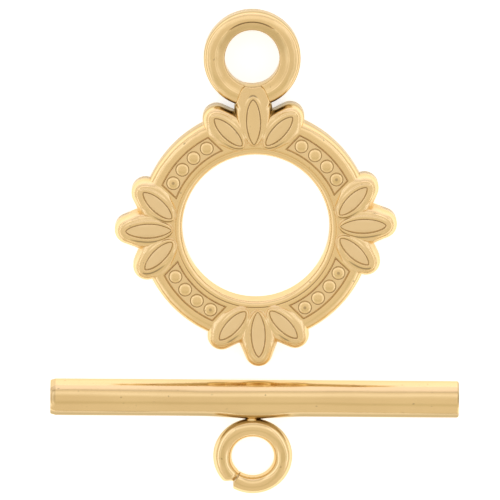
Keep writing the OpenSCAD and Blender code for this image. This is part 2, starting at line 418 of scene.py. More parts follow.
# %% A petal's outline
TIP_R, FLARE, PETAL_H = 0.82, np.radians(21), 2.0
MIDDLE_NOSE, SIDE_NOSE = -2.66, -2.34         # the inner end on the petal's axis, from its tip's centre
TOP_LONGER = 0.3      # how much further out the tip over the hanging loop stands


def curve_through(knots, share):
    """Smooth curve through the knots at equal shares of its length: between two knots a cubic whose
    end slopes run along the neighbours' chord."""
    step = np.hypot(*np.diff(knots, axis=0).T)
    length = np.concatenate([[0], np.cumsum(step)])
    slope = np.gradient(knots, length, axis=0)
    at = np.clip(share, 0, 1) * length[-1]
    k = np.clip(np.searchsorted(length, at, side="right") - 1, 0, len(step) - 1)
    h = step[k][:, None]
    t = (at - length[k])[:, None] / h
    return ((2 * t ** 3 - 3 * t ** 2 + 1) * knots[k] + (t ** 3 - 2 * t ** 2 + t) * h * slope[k]
            + (3 * t ** 2 - 2 * t ** 3) * knots[k + 1] + (t ** 3 - t ** 2) * h * slope[k + 1])


def petal_half(nose, share, longer=0.0):
    """Right half of a petal's outline, from its nose at the hole's side (share 0) to its tip
    (share 1): a blunt nose, a side that opens, a rounded shoulder, the flank that closes towards
    the tip by the flare, and the round tip, which may stand further out."""
    flank = np.array([TIP_R * np.cos(FLARE), TIP_R * np.sin(FLARE) + longer])
    slant = np.array([np.sin(FLARE), -np.cos(FLARE)])
    knots = np.concatenate([
        [[0, nose], [0.26, nose + 0.05], [0.50, nose + 0.24], [0.70, nose + 0.62], [0.88, nose + 1.12]],
        [[1.02, (nose + 1.12 + flank[1] - 0.95) / 2], flank + 0.95 * slant],
        [flank + k * slant for k in (0.62, 0.3)], arc((0, longer), TIP_R, np.degrees(FLARE), 90, 10)])
    return curve_through(knots, share)


def both_sides(half):
    """A closed outline from its right half: the half, then its mirror image back to the start."""
    return np.concatenate([half, half[-2:0:-1] * [-1, 1]])


widest = petal_half(MIDDLE_NOSE, np.linspace(0, 1, 57))[:, 0].max()
print("a petal is", round(2 * widest, 2), "mm wide")

# %% [markdown]
# ## Leaf, groove and lip
# A flat pointed leaf is sunk in each petal, and its outline is cut as a fine groove with a slightly
# raised lip. The grid follows the leaf: its first row is the leaf's middle line, then come leaves
# of growing size, so the groove lies on rows and stays crisp at any distance.

# %% Leaf, groove and lip
GROWN = 0.33          # how far the raised lip and its foot reach out from the leaf
LEAF_GROWTH = np.array([-0.06, -0.04, -0.015, 0.015, 0.036, 0.06,
                        0.11, 0.155, 0.20, 0.235, 0.265, GROWN])
# heights from the petal's face, of two rows inside the first leaf and then of each leaf
LEAF_Z = np.array([-0.055, -0.055, -0.055, -0.065, -0.115, -0.115, -0.02,
                   -0.004, 0.0, -0.004, -0.018, -0.052, -0.066, -0.068])
LEAF_MARGIN, LIP_SATIN = 0.66, 0.35           # from the petal's tip to the leaf's, finish of the lip


def leaf_half(leaf, grow, share):
    """Right half of a leaf, from its inner end (share 0) to its outer one (share 1): x = W sin(a)^p,
    y = -H cos(a). The power p sets how pointed each end is. Grow makes the leaf wider and longer,
    and its ends rounder."""
    length, width, sharp_in, sharp_out, inward = leaf
    a = np.pi * share
    near = share < 0.5
    blunt = np.clip(grow / GROWN, 0, 1)
    power = np.where(near, sharp_in + (1.0 - sharp_in) * blunt, sharp_out + (1.0 - sharp_out) * blunt)
    reach = length / 2 + np.where(near, inward, 1.0) * grow
    centre_y = TIP_R - LEAF_MARGIN - length / 2
    return np.stack([(width / 2 + grow) * np.sin(a) ** power, centre_y - reach * np.cos(a)], -1)


def leaf_rings(leaf, share):
    """Closed outlines from the leaf's middle line outwards: the line itself, half the way to the first
    leaf, then a leaf for each growth."""
    leaves = np.stack([both_sides(leaf_half(leaf, grow, share)) for grow in LEAF_GROWTH])
    middle = leaves[0] * [0, 1]
    return np.concatenate([[middle, middle + (leaves[0] - middle) * 0.5], leaves])


def leaf_tones(floor, line):
    """Finish of the same rows: the leaf's floor, a trace of brown and the groove's brown, both painted
    shade, then over to satin.
    """
    return np.array([floor] * 3 + [0.1, line, line, 0.15, -0.15] + [-LIP_SATIN] * 6)


print("a groove is", round(LEAF_GROWTH[4] - LEAF_GROWTH[1], 3), "mm wide and", -LEAF_Z.min(), "mm deep")

# %% [markdown]
# ## What a petal stands on
# A petal's outline lies partly over the band, partly over the hanging loop, and partly free. Where
# it is over other metal it needn't fall deeper than just below that metal's face, and beside a
# panel it is cut back, as the engraver would, to leave the panel's straight end clear.

# %% What a petal stands on
FREE_DEPTH = 0.75     # how far a free edge rounds down before it becomes a wall


def petal_ground(outline, eye, panel):
    """Plan points of the outline on the ring, the height of the metal under each, and how crisp the
    edge is: 1 over the hanging loop, 0 elsewhere. A point too near a panel moves square out of it,
    and one inside the eye moves back to its wall."""
    if panel is not None:
        outline = outline + np.clip(PANEL_HALF + 0.06 - outline @ panel, 0, None)[:, None] * panel
    below = band_top(np.hypot(*outline.T))
    if eye is None:
        return outline, below, np.zeros(len(outline))
    off = outline - eye
    far = np.hypot(*off.T)
    outside, wall = EYE_R + EYE_W, EYE_R + 0.005
    past = smoothstep(outside - 0.15, outside + 0.40, far)
    below = np.maximum(below, loop_top(far) * (1 - past) + (PETAL_H - FREE_DEPTH) * past)
    crisp = 1 - smoothstep(outside - 0.35, outside + 0.30, far)
    return np.where((far < wall)[:, None], eye + off / far[:, None] * wall, outline), below, crisp


print("under a petal's middle the band is", round(PETAL_H - float(band_top(5.5)), 2), "mm lower")

# %% [markdown]
# ## Shade of a lip, and of a notch
# On polished gold a raised lip shows as a dark line only where it leans away from the light, so
# that line is painted on as shade. The notches of the top palmette are painted brown as shade, and
# those at the sides and below catch light from the sheet and are satin.

# %% Shade of a lip, and of a notch
def lip_shade(towards, axis, outline, over_loop):
    """Painted shade in brown on the lip's outer slope where it faces down the picture, a soft step of
    that share, and less on the round tips in the upper and lower palmettes. On the petal over the loop
    both sides count."""
    if over_loop:
        return 0.8 * smoothstep(0.72, 0.98, np.abs(towards))
    shade = 0.8 * smoothstep(0.66, 0.97, towards)
    upright, tip = smoothstep(0.6, 0.9, np.abs(axis[1])), smoothstep(0.0, 0.3, outline[:, 1])
    return shade * (1 - 0.7 * upright * tip)


def notch_share(outline):
    """1 in the notches between a palmette's petals and 0 elsewhere, by soft steps of the distance
    from the ring's centre and of that from the palmette's own axis."""
    far = np.hypot(*outline.T)
    beside = 1 - smoothstep(1.8, 2.2, np.abs(outline[:, 0]))
    return smoothstep(6.2, 6.5, far) * (1 - smoothstep(7.2, 7.6, far)) * beside


def satin_where_clean(brown, more):
    """Where there is hardly any brown painted shade the metal is satin, brown - S (1 - brown / 0.3),
    and where the pad sinks towards the band it is more so, up to S = 0.95."""
    return brown - (LIP_SATIN + 0.6 * more) * np.clip(1 - brown / 0.3, 0, 1)


print("clean metal gets", satin_where_clean(0.0, 0.0), "and half brown", satin_where_clean(0.5, 0.0))

# %% [markdown]
# ## The pad
# From the lip's foot the pad runs to its outline and rounds down like a worn pebble. Over the band
# it falls only a little, and where it is free it goes on as a wall down to the flat back. Rows get
# closer towards the outline, where the round is tightest.

# %% The pad
def petal_pad(foot, base, edge, below, crisp, nook, rim_shade):
    """Rows from the lip's foot to the outline, at shares u of the way. Where the edge is free the pad
    falls by D (1 - sqrt(1 - t^2.7)) over its last 0.6 mm, over other metal by D u^1.5. Also their
    painted shade in brown, and that of the wall below: the notches' value, satin where below 0, the
    free rim's, and more at the edge over the hanging loop."""
    depth = PETAL_H + base - np.maximum(below - 0.05, PETAL_H - FREE_DEPTH)
    free = smoothstep(0.15, 0.60, depth)
    u = (1 - (1 - np.linspace(0, 1, 15)[1:]) ** 1.6)[:, None]
    rest = (1 - u) * np.hypot(*(edge - foot).T) / (0.10 + 0.50 * free * (1 - crisp))
    rest = np.clip(1 - rest, 0, 1)
    drop = depth * (1 - np.sqrt(np.clip(1 - rest ** 2.7, 0, 1)))
    round_off = np.maximum(free * (1 - crisp), crisp)
    z = base - (round_off * drop + (1 - round_off) * depth * u ** 1.5)
    # painted shade: brown at the edge over the hanging loop, on the free rim and in the top notches
    over_loop = crisp * 0.65 * smoothstep(0.6, 1.0, rest)
    brown = free * (1 - crisp) * rim_shade * smoothstep(0.8, 1.0, rest) + over_loop
    notch = notch_share(edge)
    brown = brown + (nook - brown) * notch * smoothstep(0.4, 0.8, u)
    wall = 0.55 * free + (nook - 0.55 * free) * notch
    return foot + (edge - foot) * u[..., None], z, brown, wall


print("a free edge rounds down over", FREE_DEPTH, "mm of", PETAL_H, "mm")

# %% [markdown]
# ## A petal's surface
# Leaf, lip and pad follow each other as rows of one table, from the leaf's middle line over the
# petal's face and down its wall to the back. The lip stands out most where it runs across the
# picture, and the pad's inner end sinks towards the band.

# %% A petal's surface
BACK_REACH = 0.92     # the back is flat up to this share of the way to the outline


def petal_surface(leaf, nose, place, axis, finish, eye=None, panel=None, n=56):
    """All rows of a petal. Place moves plan points to the ring, axis is up the picture as the petal
    sees it, and finish gives the leaf's floor, and the painted shade of the groove, the notches and the
    free rim. Heights near the lip are multiplied by a soft step of how far it faces along the axis."""
    floor, line, nook, rim_shade = finish
    share = np.linspace(0, 1, n + 1)
    outline = both_sides(petal_half(nose, share, 0.0 if eye is None else TOP_LONGER))
    plan = place(leaf_rings(leaf, share))
    way = plan[-1] - plan[-3]
    towards = -way @ axis / np.hypot(*way.T)
    low = 0.25 + 0.75 * smoothstep(0.45, 0.95, np.abs(towards))
    sunk = smoothstep(-1.2, -2.3, outline[:, 1])
    tones = leaf_tones(floor, line)
    height, cut = [np.repeat(rows[:, None], len(outline), 1) for rows in (LEAF_Z, tones)]
    height[-5:] *= low + (1.7 - low) * sunk
    shade = lip_shade(towards, axis, outline, eye is not None)
    cut[-4:-1] = satin_where_clean(np.array([0.5, 1.0, 0.8])[:, None] * shade, sunk)
    edge, below, crisp = petal_ground(place(outline), eye, panel)
    foot = plan[-1]
    pad, pad_z, brown, wall = petal_pad(foot, height[-1], edge, below, crisp, nook, rim_shade)
    plan = np.concatenate([plan, pad, [edge, foot + (edge - foot) * BACK_REACH, plan[0]]])
    back = np.repeat([[0.07], [0.01], [0.01]], len(edge), 1)
    z = np.concatenate([PETAL_H + height, PETAL_H + pad_z, back])
    cut = np.concatenate([cut, satin_where_clean(brown, sunk), [wall] * 3])
    return np.concatenate([plan, z[..., None]], -1), cut


print("a petal has", len(LEAF_Z), "rows on its leaf and lip, 14 on its pad and 3 below")

# %% [markdown]
# ## Twelve petals
# Each palmette has an upright petal and two that lean out by 44 degrees. The wax model would be
# carved once and turned by quarters, which is what the loop below does.

# %% Twelve petals
def seam_table(rows, columns):
    """Point numbers of a petal: on the first and last row, the middle line, each point on the left
    is the same as its twin on the right."""
    index = np.arange(rows * columns).reshape(rows, columns)
    twin = np.minimum(np.arange(columns), (columns - np.arange(columns)) % columns)
    index[0], index[-1] = index[0, twin], index[-1, twin]
    return wrapped(index)


def placer(turn, distance, lean, mirror):
    """Moves plan points so that a petal's tip centre stands at the distance from the ring's centre,
    turned away from the palmette's axis, with its own axis leaning: x cos - y sin, x sin + y cos,
    then a shift."""
    def place(p):
        """The petal's own plan points, mirrored or not, where they belong on the ring."""
        q = p * [mirror, 1]
        c, s = np.cos(-lean * mirror), np.sin(-lean * mirror)
        x, y = c * q[..., 0] - s * q[..., 1], s * q[..., 0] + c * q[..., 1]
        return np.stack([x + distance * np.sin(turn * mirror), y + distance * np.cos(turn)], -1)
    return place


# length, width, sharpness of the inner and outer end, share of the growth at the inner end
MIDDLE_LEAF = (2.67, 0.83, 1.5, 1.25, 0.35)
SIDE_LEAF = (2.25, 0.77, 1.2, 1.35, 0.6)
MIDDLE_OUT, SIDE_OUT = 7.49, 6.81             # the tip's centre from the ring's centre
SIDE_TURN, SIDE_LEAN = np.radians(18.6), np.radians(44)
# satin of the leaf's floor, then painted shade in the groove, in the notches (satin below 0) and on the
# free rim
OVER_LOOP, TOP_SIDES, OTHERS = (-0.3, 0.5, 0.8, 0.5), (-0.6, 0.5, 0.8, 0.5), (-1.0, 0.4, -0.8, 0.15)
petals = []
for quarter in np.radians([0, 90, 180, 270]):
    top = quarter == 0
    axis = np.array([np.sin(quarter), np.cos(quarter)])
    made = [petal_surface(MIDDLE_LEAF, MIDDLE_NOSE, placer(0, MIDDLE_OUT, 0, 1), axis,
                          OVER_LOOP if top else OTHERS, eye=np.array([0, EYE_Y]) if top else None)]
    for mirror in (1, -1):
        place = placer(SIDE_TURN, SIDE_OUT, SIDE_LEAN, mirror)
        made.append(petal_surface(SIDE_LEAF, SIDE_NOSE, place, axis, TOP_SIDES if top else OTHERS,
                                  panel=np.array([-mirror, 1]) / np.sqrt(2)))
    for points, cut in made:
        corners = face_corners(seam_table(*points.shape[:2]))
        petals.append(mesh_object("petal_%d" % len(petals), turned(points, quarter), corners, cut))
print("petals:", len(petals), "of", len(petals[0].data.polygons), "faces")

# %% [markdown]
# ## The hanging loop
# The loop is a ring of its own section, flatter than wire: a straight wall at the hole, a rounded
# front and softened edges at the back. A fine crease runs over its top, where the casting's seam
# was filed. The section is carried once round the loop's centre.

# %% The hanging loop's section
LOOP_OUT = EYE_R + EYE_W
EDGE_R, BACK_R = 0.12, 0.25                   # roundings at the hole's front edge and at the back
EDGE_SINK = 0.23                              # depth of the front edge's centre under the loop's top


def loop_section():
    """Points (r, z): the back's inner round, the wall, a small round edge, a slope that rises gently
    away from the hole, with close rows for the crease, the parabola from the crest to the shoulder,
    a tighter round, which goes on from the shoulder's tilt to upright, and the back's outer round."""
    crown = np.linspace(CREST_R, SHOULDER_R, 11)
    tilt = SHOULDER_TILT + (np.pi / 2 - SHOULDER_TILT) * np.linspace(0, 1, 10)[1:]
    bend = (LOOP_OUT - SHOULDER_R) / (1 - np.sin(SHOULDER_TILT))
    slope = np.array([[0.25, 0.10], [0.45, 0.045], [0.47, 0.038],
                      [0.49, 0.032], [0.53, 0.022], [0.55, 0.016]])
    return np.concatenate([
        arc((EYE_R + BACK_R, BACK_R), BACK_R, 270, 180, 7),
        arc((EYE_R + EDGE_R, EYE_H - EDGE_SINK), EDGE_R, 180, 105, 6),
        np.array([EYE_R, EYE_H]) + slope * [1, -1],
        np.stack([crown, loop_top(crown)], -1),
        np.stack([LOOP_OUT - bend * (1 - np.sin(tilt)),
                  loop_top(SHOULDER_R) - bend * (np.cos(SHOULDER_TILT) - np.cos(tilt))], -1),
        arc((LOOP_OUT - BACK_R, BACK_R), BACK_R, 0, -90, 7)])


print("the loop's section has", len(loop_section()), "points")

# %% [markdown]
# ## The loop carried round
# The eye isn't quite in the middle of the loop: towards the top its edge is pushed outwards and
# the metal is thinner. The crease, the inner slope towards the top, the left and right sides, the
# walls and the back are painted darker than the front, as shade.

# %% The loop carried round
CREASE_R, CREASE_DEPTH = 0.51, 0.05           # the crease's distance from the hole's wall, its depth
EYE_UP, OUTSIDE_DOWN = 0.09, 0.045            # how far the edges move at the loop's top


def loop_surface(n=144):
    """The section at each angle a about the eye's centre, x = r cos(a), y = r sin(a), with z lowered
    in the crease. Towards the top, by a soft step of sin(a), the inner rows move up and the
    outermost down."""
    a = np.linspace(0, 2 * np.pi, n, endpoint=False)
    r, z = loop_section().T[..., None]
    front, high = z > 1, smoothstep(0.1, 1.0, np.sin(a))
    near = np.abs(r - EYE_R - CREASE_R) < 0.025
    # painted shade: brown in the crease, on the inner slope towards the top, on the sides and on the
    # walls
    crease = np.where(near & front, 1.0, 0) * smoothstep(0.7, 0.95, np.sin(a))
    inner = np.where(r < EYE_R + 0.47, 0.15, 0) * smoothstep(-0.2, 0.7, np.sin(a)) * front
    flank = 0.07 * smoothstep(0.8, 0.4, np.abs(np.sin(a))) * front
    outer_wall = np.where((r > LOOP_OUT - 0.05) | (z < 0.6), WALL_SHADE, 0)
    inner_wall = np.where((r < EYE_R + 0.01) & (z > 0.3), 0.25, 0)
    wall = np.minimum(outer_wall + inner_wall, WALL_SHADE)
    cut = np.maximum(np.maximum(0.75 * crease, inner + flank), wall)
    shift = high * (EYE_UP * (1 - smoothstep(EYE_R + 0.5, EYE_R + 0.95, r))
                    - OUTSIDE_DOWN * smoothstep(LOOP_OUT - 0.3, LOOP_OUT, r))
    return np.stack([r * np.cos(a), EYE_Y + r * np.sin(a) + shift, z - CREASE_DEPTH * crease], -1), cut


points, cut = loop_surface()
hanging = mesh_object("ring_loop", points, face_corners(hoop_table(*points.shape[:2]))[:, ::-1], cut)
print("loop:", len(hanging.data.polygons), "faces")

# %% [markdown]
# ## One casting
# The real ring is one piece of metal. A boolean union joins the overlapping shells into one skin.
# It needs closed shells that face outwards, so each is measured first: the signed volume of a
# shell is negative when it is inside out.

# %% Join closed shells
def outward(piece):
    """Turns a mesh whose signed volume is negative inside out. Returns how many edges are open."""
    shell = bmesh.new()
    shell.from_mesh(piece.data)
    if shell.calc_volume(signed=True) < 0:
        bmesh.ops.reverse_faces(shell, faces=shell.faces)
        shell.to_mesh(piece.data)
    open_edges = sum(len(edge.link_faces) != 2 for edge in shell.edges)
    shell.free()
    return open_edges


def fused(name, first, others):
    """One object from overlapping closed ones, by Blender's manifold union."""
    open_edges = sum(outward(piece) for piece in [first] + others)
    print(name, "joins", 1 + len(others), "shells with", open_edges, "open edges")
    tray = bpy.data.collections.new(name + "_parts")
    bpy.context.scene.collection.children.link(tray)
    bpy.context.scene.collection.objects.link(first)
    for piece in others:
        tray.objects.link(piece)
    join = first.modifiers.new("join", "BOOLEAN")
    join.operation, join.operand_type, join.solver = "UNION", "COLLECTION", "MANIFOLD"
    join.collection = tray
    graph = bpy.context.evaluated_depsgraph_get()
    graph.update()
    mesh = bpy.data.meshes.new_from_object(first.evaluated_get(graph))
    for piece in [first] + others:
        bpy.data.objects.remove(piece)
    bpy.data.collections.remove(tray)
    mesh.name = name
    mesh.validate()
    result = bpy.data.objects.new(name, mesh)
    bpy.context.scene.collection.objects.link(result)
    return result


ring = fused("ring_casting", band, cells + petals + [hanging])
print(ring.name, "has", len(ring.data.vertices), "points")

# %% [markdown]
# ## Crisp edges, and a place in the frame
# Where two surfaces meet at an angle the edge is marked sharp, so that it stays crisp while all
# the rest is shaded smooth. The ring takes the place of its plain CAD node and rides on its body.

# %% Finish the ring
SHARP_FROM = 28       # degrees between two faces


def finish(piece, angle, slot, *nodes):
    """Smooth shading with edges sharper than the angle kept, and the piece's place in the frame."""
    piece.data.polygons.foreach_set("use_smooth", np.ones(len(piece.data.polygons), bool))
    piece.data.set_sharp_from_angle(angle=np.radians(angle))
    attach(piece, "root")
    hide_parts(*nodes)
    corners = np.array([v for v in piece.bound_box]) / MM
    low, high = corners.min(0).round(2), corners.max(0).round(2)
    print(piece.name, len(piece.data.polygons), "faces, from", low, "to", high)


finish(ring, SHARP_FROM, "gold_plate", "toggle_ring")

# %% [markdown]
# ## The rod
# The bar is a plain round rod, cut to length and bevelled, with painted shade on its ends, bevels
# and underside.
# Under the middle it is a little fuller, where solder ran along it. It could be a cylinder with a
# bevel, but the bevels differ, and the fullness has to flow smoothly into the round.

# %% The rod
BAR_X, BAR_Y, BAR_TURN = -0.30, -10.255, np.radians(-1.7)
ROD_L, ROD_R = 24.1, 1.085
LOOP_X, SWELL, SWELL_HALF = -0.08, 0.13, 3.0  # where the loop is soldered on, the rod's fullness there
# painted shade round the rod, against degrees from straight up towards +Y
ROUND_AT = [-180, -75, -66, -55, -44, -36, 95, 110, 180]
ROUND_SHADE = [0.7, 0.6, 0.6, 0.66, 0.43, 0, 0, 0.5, 0.7]


def laid(points):
    """From the bar's own axes to the ring's: turned about Z and moved."""
    return turned(points, BAR_TURN) + [BAR_X, BAR_Y, 0]


def rod_surface(n=96):
    """A profile of radius against length, turned about X: flat ends, a chamfer of its own at each, a
    straight side. Towards -Y the radius grows by the swell, a soft step of the distance from the
    loop times one of the angle."""
    h = ROD_L / 2
    middle = np.concatenate([[-6, -4], LOOP_X + np.linspace(-SWELL_HALF, SWELL_HALF, 25), [4, 6]])
    x = np.concatenate([[-h, -h, -h, -h + 0.02, -h + 0.29, -h + 0.33, -h + 0.5], middle,
                        [h - 0.3, h - 0.09, h - 0.07, h - 0.01, h, h, h]])[:, None]
    r = ROD_R - np.concatenate([[ROD_R, 0.13, 0.09, 0.078, 0.004, 0, 0], 0 * middle,
                                [0, 0, 0.003, 0.05, 0.06, 0.10, ROD_R]])[:, None]
    a = np.linspace(0, 2 * np.pi, n, endpoint=False)
    tilt = np.degrees(np.arctan2(np.cos(a), np.sin(a)))
    # painted shade: brown on the rod's underside, less near the loop, on the +Y half of each bevel, and
    # on the end faces
    cut = np.interp(tilt, ROUND_AT, ROUND_SHADE) * (1 - 0.6 * smoothstep(3.0, 1.2, np.abs(x)))
    bevel_shade = smoothstep(-8, 2, tilt)
    cut[2:5] = np.maximum(cut[2:5], 0.26 * bevel_shade)
    cut[-5:-2] = np.maximum(cut[-5:-2], 0.5 * bevel_shade)
    cut[[0, 1, -2, -1]] = 0.4
    near_loop = smoothstep(SWELL_HALF, 0.0, np.abs(x - LOOP_X))
    r = r + SWELL * near_loop * smoothstep(60, 10, np.abs(tilt + 85))
    return np.stack([x + 0 * a, r * np.cos(a), ROD_R + r * np.sin(a)], -1), cut


points, cut = rod_surface()
rod = mesh_object("bar_rod", laid(points), face_corners(capped_table(*points.shape[:2])), cut)
print("rod:", len(rod.data.polygons), "faces")

# %% [markdown]
# ## The wire loop
# The loop was bent round from wire and cut off with pliers: one end is pinched thinner, the other
# cut square, and the two don't quite meet. Circles carried along an arc give the wire, and the
# cut is slanted by letting the arc's ends depend on the side of the wire.

# %% The wire loop
WIRE_R, LOOP_R, DROOP, SOLDER_GAP = 0.545, 1.795, np.radians(11), 0.12
JOINT_Z = WIRE_R + 2 * LOOP_R * np.sin(DROOP)
JOINT_REACH = ROD_R + SOLDER_GAP + WIRE_R
JOINT_Y = np.sqrt(JOINT_REACH ** 2 - (JOINT_Z - ROD_R) ** 2)
# length of the pinch, and the shares by which it thins the wire outside, inside and in height
PINCH_LENGTH, PINCH_OUTSIDE, PINCH_INSIDE, PINCH_FLAT = 0.36, 0.72, 0.06, 0.25


def wire_surface(n=200, m=48):
    """Circles round the loop's centre line, (R + w cos(v)) (cos(a), sin(a)) and w sin(v), from one cut
    end to the other. The end angles depend on cos(v). At the pinched end w shrinks, most on the
    outer side. Both ends close in a point. Inner sides are satin; steep outer ones, the side next to
    the rod and the cut ends get painted shade."""
    v = np.linspace(0, 2 * np.pi, m, endpoint=False)
    side = np.cos(v)
    first = np.radians(np.interp(side, [-1, 0.1, 1], [235.2, 233.4, 240.5]))
    last = np.radians(360 + np.interp(side, [-1, 1], [234.0, 231.4]))
    share = np.concatenate([[0, 0, 0.002], np.linspace(0, 1, n)[1:-1], [0.998, 1, 1]])[:, None]
    a = first + (last - first) * share
    size = np.ones((len(share), 1))
    size[[0, -1]], size[[1, -2]] = 0, 0.95
    pinch = smoothstep(PINCH_LENGTH, 0.0, (last - a) * LOOP_R)
    r = LOOP_R + size * WIRE_R * side * (1 - pinch * np.where(side > 0, PINCH_OUTSIDE, PINCH_INSIDE))
    z = size * WIRE_R * np.sin(v) * (1 - PINCH_FLAT * pinch)
    a = np.where(size == 0, a.mean(1, keepdims=True), a)
    # painted shade: brown next to the rod, on steep outer faces and on the cut ends
    near_rod = smoothstep(0.6, 0.95, np.sin(a)) * smoothstep(0.7, 1.0, side)
    satin = 0.3 + 0.65 * smoothstep(0.2, -0.5, side)
    steep = underside_shade(np.sin(v), 0.35) * smoothstep(-0.1, 0.5, side)
    cut = np.maximum(steep - satin * np.clip(1 - steep / 0.2, 0, 1), 0.75 * near_rod)
    cut[[0, 1, -2, -1]] = 0.5
    return np.stack([r * np.cos(a), r * np.sin(a), z], -1), cut


def drooped(points):
    """The loop lies with its far end on the surface and its near end raised against the rod: turned
    about X by the droop and moved to the joint."""
    c, s = np.cos(DROOP), np.sin(DROOP)
    x, y, z = points[..., 0], points[..., 1] - LOOP_R, points[..., 2]
    return np.stack([x + LOOP_X, c * y - s * z - JOINT_Y, s * y + c * z + JOINT_Z], -1)


points, cut = wire_surface()
corners = face_corners(capped_table(*points.shape[:2]))
wire = mesh_object("bar_wire", laid(drooped(points)), corners, cut)
print("wire:", len(wire.data.polygons), "faces, joint at height", round(JOINT_Z, 2), "mm")

# %% [markdown]
# ## Solder
# Solder fills the narrow gap between rod and wire with a seam painted dark as shade, and a small
# bright drop stands on it. Both are little lumps, which the union then makes one with the rod and
# the wire.

# %% Solder, and the whole bar
def lump(centre, half, pinch, rows=17, columns=32):
    """x = A cos(v) |cos(v)|^p sin(u), y = B sin(v) |sin(v)|^p sin(u), z = C cos(u), where p over 0
    pulls the plan from an oval towards a diamond. Also the share cos(u) by which it faces up."""
    u = np.linspace(0, np.pi, rows)[:, None]
    v = np.linspace(0, 2 * np.pi, columns, endpoint=False)
    c, s, up = np.cos(v), np.sin(v), np.cos(u) + 0 * v
    plan = [half[0] * c * np.abs(c) ** pinch * np.sin(u), half[1] * s * np.abs(s) ** pinch * np.sin(u)]
    return np.stack(plan + [half[2] * up], -1) + centre, up


# centre, half sizes, pinch and painted shade of each lump
LUMPS = {"seam": ((LOOP_X, -1.17, 1.0), (0.95, 0.13, 0.2), 0.4, 0.9),
         "drop": ((LOOP_X - 0.08, -1.25, 1.36), (0.30, 0.17, 0.2), 0.5, 0.0)}
solder = []
for name, (centre, half, pinch, brown) in LUMPS.items():
    points, up = lump(np.array(centre), half, pinch)
    corners = face_corners(capped_table(*points.shape[:2]))
    # downward faces of the lumps are painted dark too, as shade
    cut = np.maximum(brown, 1 - smoothstep(0.1, 0.6, up))
    solder.append(mesh_object("bar_solder_" + name, laid(points), corners, cut))
bar = fused("bar_soldered", rod, [wire] + solder)
finish(bar, SHARP_FROM, "gold_plate", "toggle_bar")
print("lumps of solder on the bar:", len(solder))

# %% [markdown]
# ## Gold
# Gold plate reflects nearly all red light, less green and far less blue. A polished casting still
# isn't a perfect mirror: polishing leaves soft waves and a slightly uneven gloss, and the drawn
# rod has them stretched along its length. The number stored in the mesh paints brown shade into
# the engraved lines, walls and undersides, and turns the unpolished places to satin.

# %% Helpers for a finish
GOLD_DEEP, GOLD_PALE = np.array([0.785, 0.60, 0.325]), np.array([0.815, 0.63, 0.345])
# BROWN is the colour of the painted shade, and of a few specks
BROWN, SATIN_GOLD, SATIN_ROUGHNESS = (0.20, 0.15, 0.08), (0.83, 0.655, 0.395), 0.40
PLATE_TINT = (0.95, 0.85, 0.64)               # what the metal reflects at a grazing angle


def noise(tree, place, scale, detail):
    """Soft noise between 0 and 1 on a place socket: about so many patches in a metre, and the detail
    adds finer ones."""
    node = tree.nodes.new("ShaderNodeTexNoise")
    node.inputs["Scale"].default_value, node.inputs["Detail"].default_value = scale, detail
    tree.links.new(place, node.inputs["Vector"])
    return node.outputs["Fac"]


def stretched(tree, value, start, end, low, high):
    """A value carried from the range start..end to low..high, in a straight line, and held there."""
    node = tree.nodes.new("ShaderNodeMapRange")
    for socket, number in zip(("From Min", "From Max", "To Min", "To Max"), (start, end, low, high)):
        node.inputs[socket].default_value = number
    tree.links.new(value, node.inputs["Value"])
    return node.outputs["Result"]


def towards_colour(tree, share, colour, other):
    """The colour socket mixed towards another colour, by a share."""
    node = tree.nodes.new("ShaderNodeMix")
    node.data_type = "RGBA"
    node.inputs["B"].default_value = (*other, 1)
    tree.links.new(share, node.inputs["Factor"])
    tree.links.new(colour, node.inputs["A"])
    return node.outputs["Result"]


def bumped(tree, height, strength, distance, before=None):
    """Normal bent by a height, over an earlier bend where there is one."""
    node = tree.nodes.new("ShaderNodeBump")
    node.inputs["Strength"].default_value, node.inputs["Distance"].default_value = strength, distance
    tree.links.new(height, node.inputs["Height"])
    if before:
        tree.links.new(before, node.inputs["Normal"])
    return node.outputs["Normal"]


print("gold reflects red, green and blue as", GOLD_DEEP, "to", GOLD_PALE)

# %% [markdown]
# ## The gold finish
# Colour, gloss and relief each get their own noise on Object coordinates, in sizes from a fifth of
# a millimetre for the grain to three millimetres for the tone.

# %% The gold finish
# patches of noise in a metre
TONE_SCALE, GLOSS_SCALE, WAVE_SCALE, FLECK_SCALE, GRAIN_SCALE = 300, 900, 650, 3800, 5200


